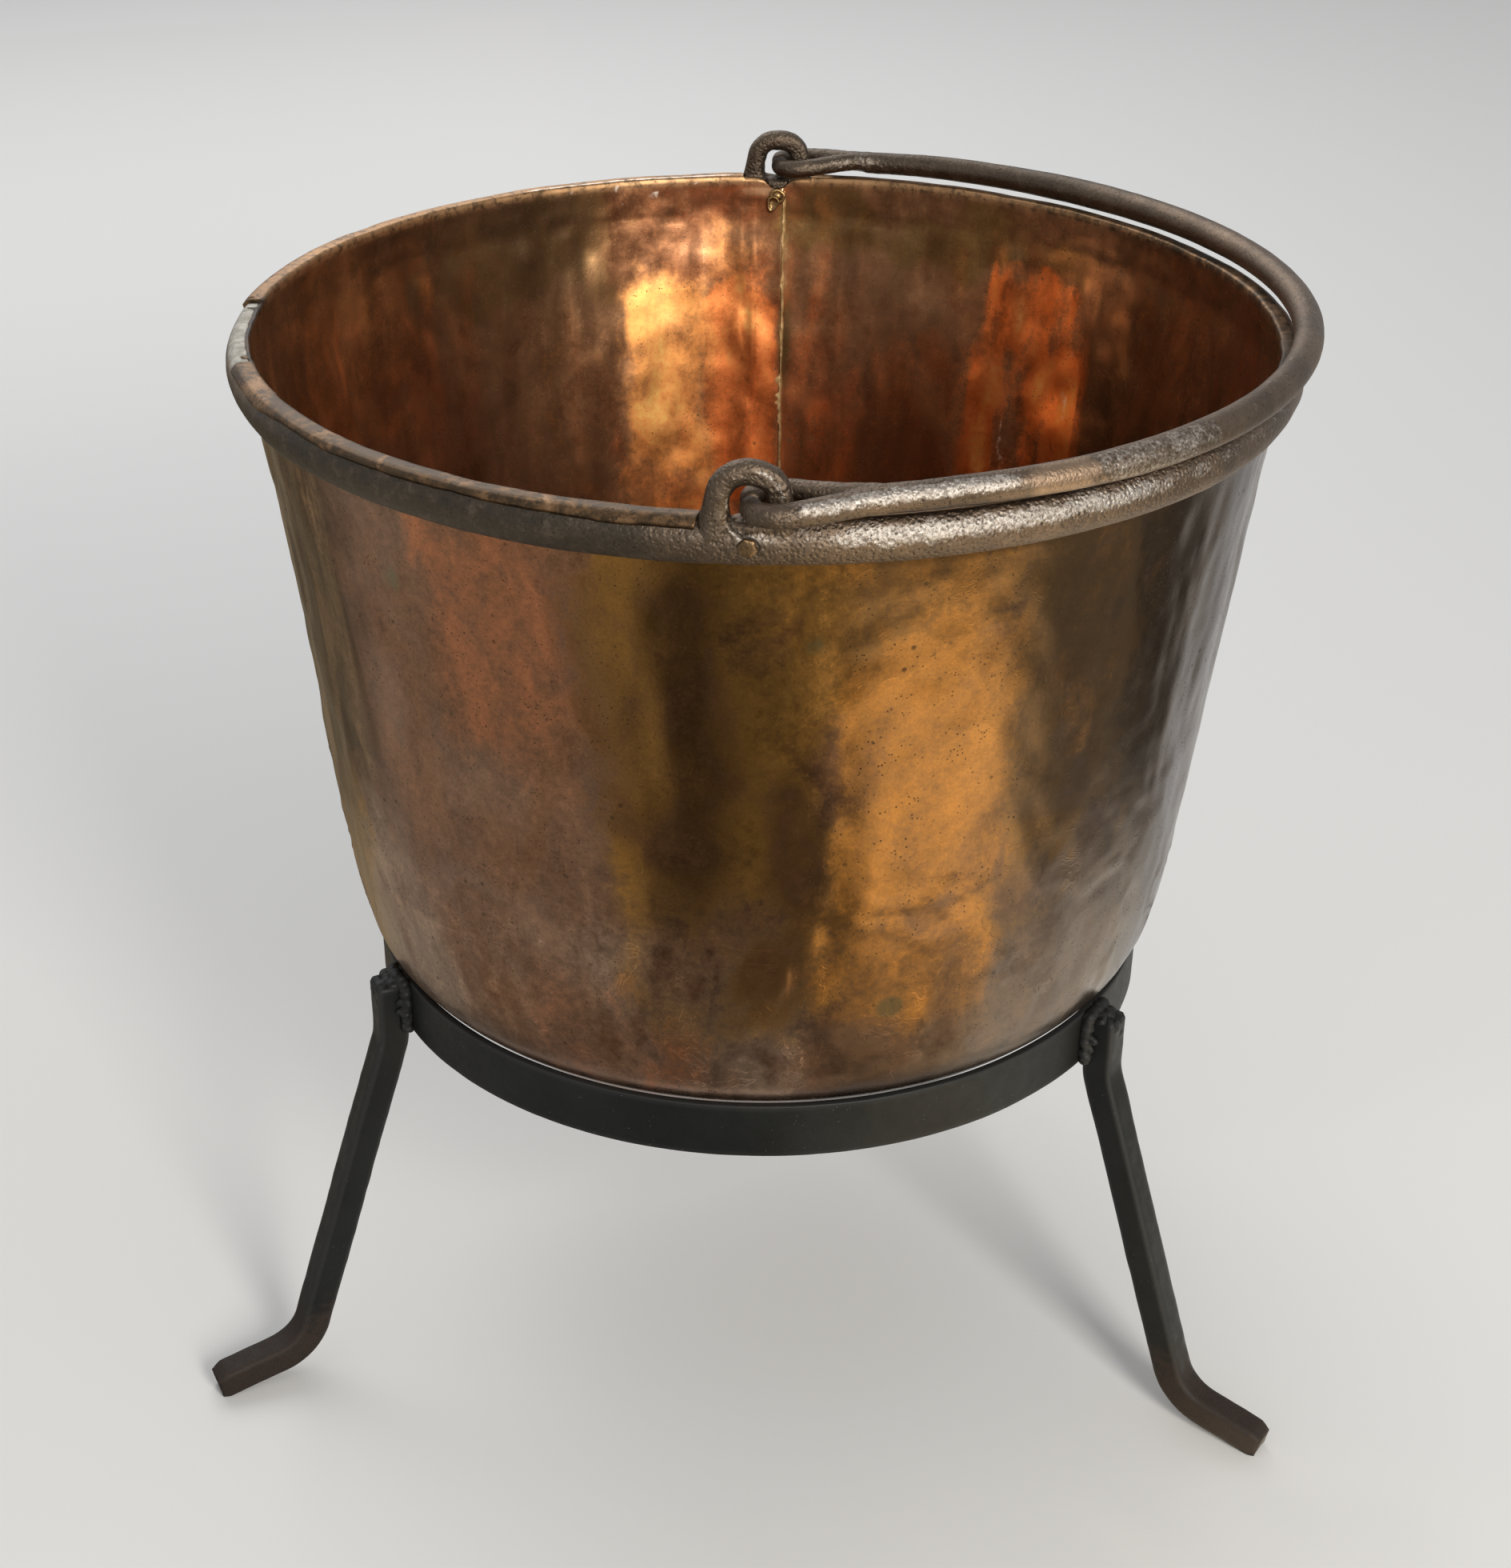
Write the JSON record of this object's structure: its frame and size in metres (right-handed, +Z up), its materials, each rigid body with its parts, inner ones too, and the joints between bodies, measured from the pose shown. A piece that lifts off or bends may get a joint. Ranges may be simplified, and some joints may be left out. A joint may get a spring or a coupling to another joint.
{
  "type": "laundry copper boiler",
  "caption": "Open tapered copper kettle with iron rim, upright ears and a swinging bail, standing in a low three-legged iron stand for boiling washing over a fire.",
  "frame": {"origin": "on the floor, under the axis of the kettle and of the hoop of the stand", "axes": "+Z up along the kettle axis; the ears stand on -Y (front) and +Y (rear); the bail lies towards +X in the stored pose"},
  "size_m": [0.6826, 0.7148, 0.701],
  "materials": {
    "copper": "hand-hammered copper sheet, polished unevenly, with brown patina",
    "braze": "rough run of yellow braze",
    "rivet_copper": "dull brown copper",
    "wrought_iron": "forged, dark brown grey, rubbed bright where it wears",
    "black_iron": "flat black paint over forged bar, a little rust on the feet"
  },
  "bodies": {
    "stand": {"stand_hoop": "black_iron", "leg_front_left": "black_iron", "leg_front_right": "black_iron", "leg_rear": "black_iron", "weld_front_left": "black_iron", "weld_front_right": "black_iron", "weld_rear": "black_iron"},
    "kettle": {"kettle_wall": "copper", "kettle_bottom": "copper", "seam_braze": "braze", "bottom_braze": "braze", "rim_hoop_left": "wrought_iron", "rim_hoop_right": "wrought_iron", "front_ear": "wrought_iron", "rear_ear": "wrought_iron", "front_rivet": "rivet_copper", "rear_rivet": "rivet_copper", "front_rove": "rivet_copper", "rear_rove": "rivet_copper"},
    "bail": {"bail": "wrought_iron"}
  },
  "joints": [
    {"name": "kettle_lift", "type": "slide", "parent": "stand", "child": "kettle", "axis": [0, 0, 1], "range_m": [0, 0.3]},
    {"name": "bail_swing", "type": "hinge", "parent": "kettle", "child": "bail", "pos_m": [0.0015, 0, 0.6778], "axis": [0, -1, 0], "range_deg": [0, 174]}
  ]
}
